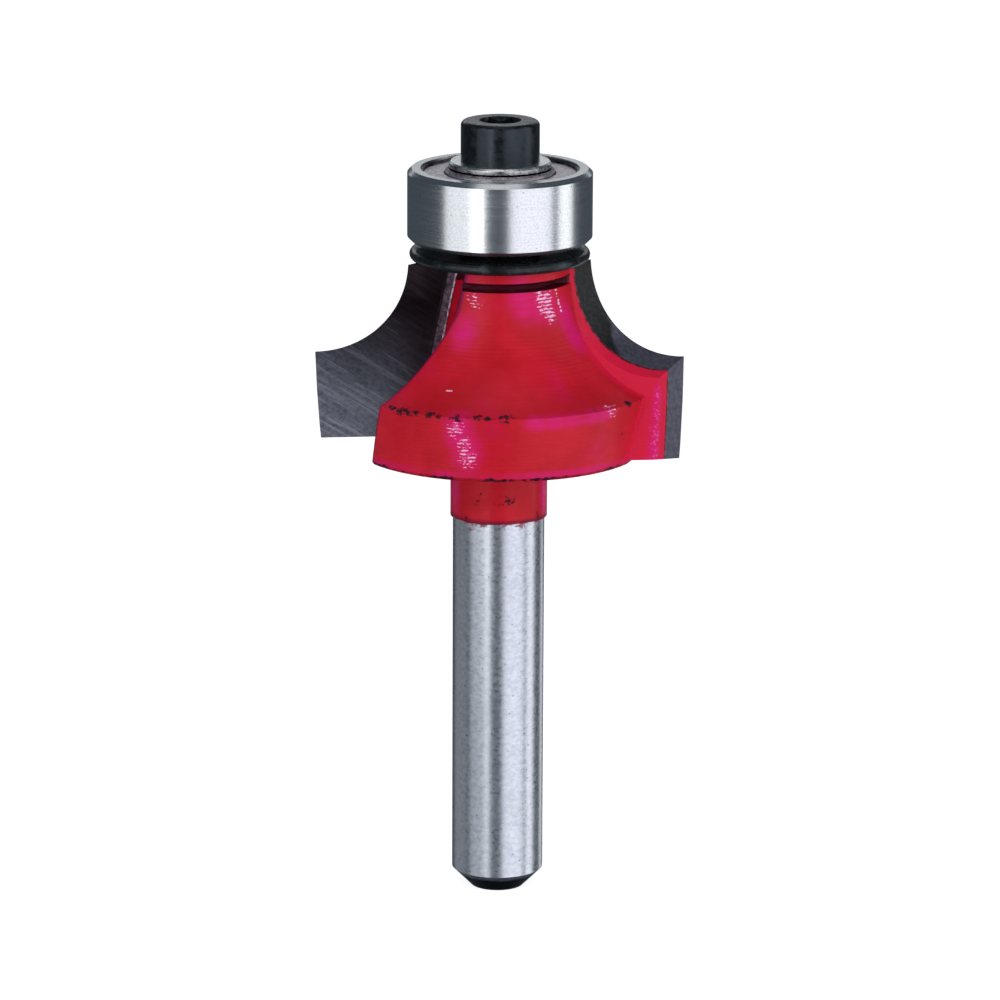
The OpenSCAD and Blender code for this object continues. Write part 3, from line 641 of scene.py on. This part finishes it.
# ---------------------------------------------------------------- braze beads
def bead_tree():
    """Lumpy bead along a straight line between two points, as a node group with named inputs."""
    tree = bpy.data.node_groups.new("braze_bead", "GeometryNodeTree")
    face = tree.interface
    face.new_socket("Geometry", in_out="INPUT", socket_type="NodeSocketGeometry")
    face.new_socket("Geometry", in_out="OUTPUT", socket_type="NodeSocketGeometry")
    for name in ("Start", "End"):
        face.new_socket(name, in_out="INPUT", socket_type="NodeSocketVector")
    for name in ("Thickness", "Wander", "Lump size"):
        face.new_socket(name, in_out="INPUT", socket_type="NodeSocketFloat")
    face.new_socket("Metal", in_out="INPUT", socket_type="NodeSocketMaterial")

    def add(kind, **settings):
        made = tree.nodes.new(kind)
        for key, value in settings.items():
            setattr(made, key, value)
        return made

    def join(source, target):
        tree.links.new(source, target)

    given, result = add("NodeGroupInput").outputs, add("NodeGroupOutput").inputs
    line = add("GeometryNodeCurvePrimitiveLine")
    join(given["Start"], line.inputs["Start"])
    join(given["End"], line.inputs["End"])
    points = add("GeometryNodeResampleCurve")
    points.inputs["Count"].default_value = BEAD_POINTS
    join(line.outputs["Curve"], points.inputs["Curve"])

    # Sideways wander of the line, and a thickness that swells and shrinks along it
    shift = add("ShaderNodeTexNoise", noise_dimensions="3D")
    join(given["Lump size"], shift.inputs["Scale"])
    centred = add("ShaderNodeVectorMath", operation="SUBTRACT")
    join(shift.outputs["Color"], centred.inputs[0])
    centred.inputs[1].default_value = (0.5, 0.5, 0.5)
    scaled = add("ShaderNodeVectorMath", operation="SCALE")
    join(centred.outputs[0], scaled.inputs[0])
    join(given["Wander"], scaled.inputs["Scale"])
    moved = add("GeometryNodeSetPosition")
    join(points.outputs["Curve"], moved.inputs["Geometry"])
    join(scaled.outputs[0], moved.inputs["Offset"])
    lumps = add("ShaderNodeTexNoise", noise_dimensions="3D")
    double = add("ShaderNodeMath", operation="MULTIPLY")
    join(given["Lump size"], double.inputs[0])
    double.inputs[1].default_value = 2.3
    join(double.outputs[0], lumps.inputs["Scale"])
    swell = add("ShaderNodeMapRange")
    join(lumps.outputs["Fac"], swell.inputs["Value"])
    swell.inputs["From Min"].default_value = 0.3
    swell.inputs["From Max"].default_value = 0.7
    swell.inputs["To Min"].default_value = 0.45
    swell.inputs["To Max"].default_value = 1.3

    ring = add("GeometryNodeCurvePrimitiveCircle")
    ring.inputs["Resolution"].default_value = BEAD_SIDES
    join(given["Thickness"], ring.inputs["Radius"])
    tube = add("GeometryNodeCurveToMesh")
    join(moved.outputs["Geometry"], tube.inputs["Curve"])
    join(ring.outputs["Curve"], tube.inputs["Profile Curve"])
    join(swell.outputs["Result"], tube.inputs["Scale"])
    tube.inputs["Fill Caps"].default_value = True
    smooth = add("GeometryNodeSetShadeSmooth")
    join(tube.outputs["Mesh"], smooth.inputs["Geometry"])
    real = add("GeometryNodeRealizeInstances")
    join(smooth.outputs["Geometry"], real.inputs["Geometry"])
    coat = add("GeometryNodeSetMaterial")
    join(real.outputs["Geometry"], coat.inputs["Geometry"])
    join(given["Metal"], coat.inputs["Material"])
    join(coat.outputs["Geometry"], result["Geometry"])
    return tree


def braze_bead(name, wing, material):
    """Bead of braze that was squeezed out along the inner edge of a tip, on the rake face."""
    place = wing_frame(wing)
    base = bpy.data.objects.new(name, bpy.data.meshes.new(name))
    bpy.context.scene.collection.objects.link(base)
    bead = base.modifiers.new("bead", "NODES")
    bead.node_group = TREE
    values = {
        "Start": place @ Vector((BEAD_X, 0, BEAD_LOW)),
        "End": place @ Vector((BEAD_X, 0, BEAD_TOP)),
        "Thickness": BEAD_THICK,
        "Wander": BEAD_WANDER,
        "Lump size": 900.0,
        "Metal": material,
    }
    for item in TREE.interface.items_tree:
        if item.in_out == "INPUT" and item.name in values:
            bead[item.identifier] = values[item.name]
    base.update_tag()
    graph = bpy.context.evaluated_depsgraph_get()
    mesh = bpy.data.meshes.new_from_object(base.evaluated_get(graph))
    base.modifiers.clear()
    base.data = mesh
    mesh.name = name
    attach(base, "tool")


TREE = bead_tree()
for wing, side in enumerate(("right", "left")):
    braze_bead(f"braze_bead_{side}", wing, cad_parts[f"braze_{side}"].data.materials[0])


# ---------------------------------------------------------------- camera
def look(eye, target, roll):
    """Camera turn that looks from eye to target, with Z up, then rolled about its own axis."""
    gaze = (Vector(target) - Vector(eye)).normalized()
    right = gaze.cross(Vector((0, 0, 1))).normalized()
    up = right.cross(gaze)
    turn = Matrix((right, up, -gaze)).transposed()
    return turn @ Matrix.Rotation(roll, 3, "Z")


def set_camera():
    height = math.radians(CAMERA_HEIGHT)
    target = Vector(CAMERA_AIM)
    eye = target + CAMERA_DISTANCE * Vector((0, -math.cos(height), math.sin(height)))
    turn = look(eye, target, math.radians(CAMERA_ROLL))
    data = bpy.data.cameras.new("camera")
    data.sensor_width = SENSOR
    data.lens = FOCAL_PIXELS / PICTURE_PIXELS * SENSOR
    data.clip_start, data.clip_end = 0.01, 20
    camera = bpy.data.objects.new("camera", data)
    camera.matrix_world = Matrix.Translation(eye) @ turn.to_4x4()
    bpy.context.scene.collection.objects.link(camera)
    bpy.context.scene.camera = camera


# ---------------------------------------------------------------- studio
def backdrop():
    """White floor that runs on under the camera and rises in one curve behind the tool."""
    mesh = bpy.data.meshes.new("backdrop")
    rows = []
    for i in range(BEND_STEPS + 1):
        a = math.pi / 2 * i / BEND_STEPS
        rows.append((BEND_START + BEND * math.sin(a), BEND - BEND * math.cos(a)))
    line = [(-REACH, 0.0)] + rows + [(BEND_START + BEND, WALL_TOP)]
    verts = [(x, y, z) for y, z in line for x in (-HALF_WIDTH, HALF_WIDTH)]
    faces = [(2 * i, 2 * i + 1, 2 * i + 3, 2 * i + 2) for i in range(len(line) - 1)]
    mesh.from_pydata(verts, [], faces)
    mesh.polygons.foreach_set("use_smooth", [True] * len(faces))
    f = Finish("backdrop", (0.9, 0.9, 0.9), 0, 0.8)
    f.shader.inputs["Specular IOR Level"].default_value = 0.1
    f.shader.inputs["Emission Color"].default_value = (1, 1, 1, 1)
    f.shader.inputs["Emission Strength"].default_value = 0.78
    mesh.materials.append(f.material)
    made = bpy.data.objects.new("backdrop", mesh)
    made.visible_glossy = made.visible_shadow = made.visible_diffuse = False
    bpy.context.scene.collection.objects.link(made)


def soft_light(name, turn, level, reach, size, glow, colour=(1, 1, 1)):
    """Upright soft box that faces the spindle axis. The values are those of SOFT_BOXES."""
    aim = Vector((0, 0, level * MM))
    turn = math.radians(turn)
    place_light(name, aim + reach * Vector((math.sin(turn), -math.cos(turn), 0)), aim, size, glow, colour)


def place_light(name, place, aim, size, glow, colour=(1, 1, 1)):
    """Rectangular light whose energy grows with its area, so that glow is the same for every size."""
    data = bpy.data.lights.new(name, "AREA")
    data.shape = "RECTANGLE"
    data.size, data.size_y = size
    data.energy = glow * math.pi * size[0] * size[1]
    data.color = colour
    made = bpy.data.objects.new(name, data)
    made.matrix_world = Matrix.Translation(place) @ look(place, aim, 0).to_4x4()
    bpy.context.scene.collection.objects.link(made)


def studio():
    for name, values in SOFT_BOXES.items():
        soft_light(name, *values)
    aim = Vector(CUTTER_MIDDLE)
    for name, (away, size, glow) in FREE_LIGHTS.items():
        place_light(name, aim + Vector(away), aim, size, glow)
    world = bpy.data.worlds.new("studio")
    world.use_nodes = True
    ground = world.node_tree.nodes["Background"]
    ground.inputs["Color"].default_value = SKY
    ground.inputs["Strength"].default_value = SKY_STRENGTH
    bpy.context.scene.world = world
    view = bpy.context.scene.view_settings
    view.view_transform = "Standard"
    view.look = "None"


set_camera()
backdrop()
studio()
